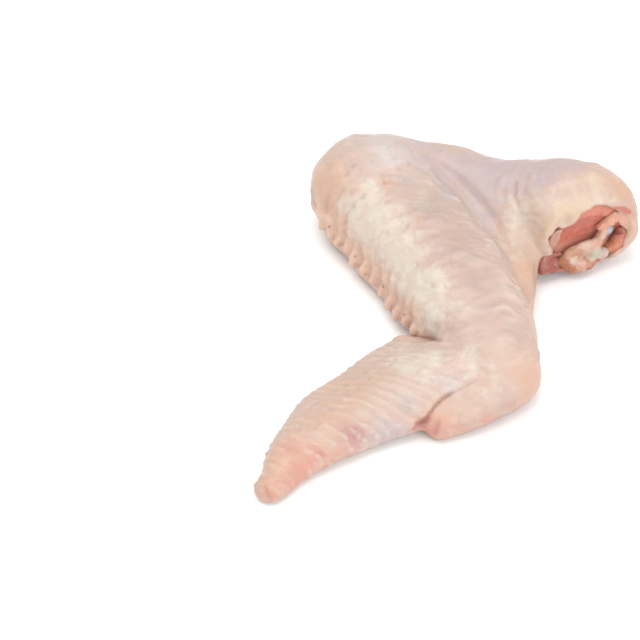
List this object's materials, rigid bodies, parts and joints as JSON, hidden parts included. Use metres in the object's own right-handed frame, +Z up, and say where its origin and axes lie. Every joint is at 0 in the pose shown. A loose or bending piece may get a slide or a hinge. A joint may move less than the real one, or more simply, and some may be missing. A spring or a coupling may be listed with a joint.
{
  "type": "raw chicken wing",
  "caption": "Whole raw chicken wing in its folded Z shape, skin on, with the meat, bone end and fat showing at the cut shoulder.",
  "frame": {"origin": "middle of the wing's outline on the surface that it lies on", "axes": "+Z up out of the skin's outer side, +Y from the finger tip's end to the elbow's end along the longest extent, +X to the shoulder's side"},
  "size_m": [0.0968, 0.1196, 0.0268],
  "materials": {
    "skin": "moist raw poultry skin, peach and cream with lavender pink patches, fine wrinkles and quill pores",
    "meat": "wet dark salmon red raw muscle",
    "cartilage": "wet pearly bluish white cartilage",
    "fat": "soft pale pink and cream fat and tendon",
    "dark_fat": "wet orange brown fat"
  },
  "bodies": {
    "root": {"wing": "skin", "shoulder_muscle": "meat", "humerus": "cartilage", "fat_and_tendon": "fat", "pocket_fat": "dark_fat"}
  },
  "joints": []
}
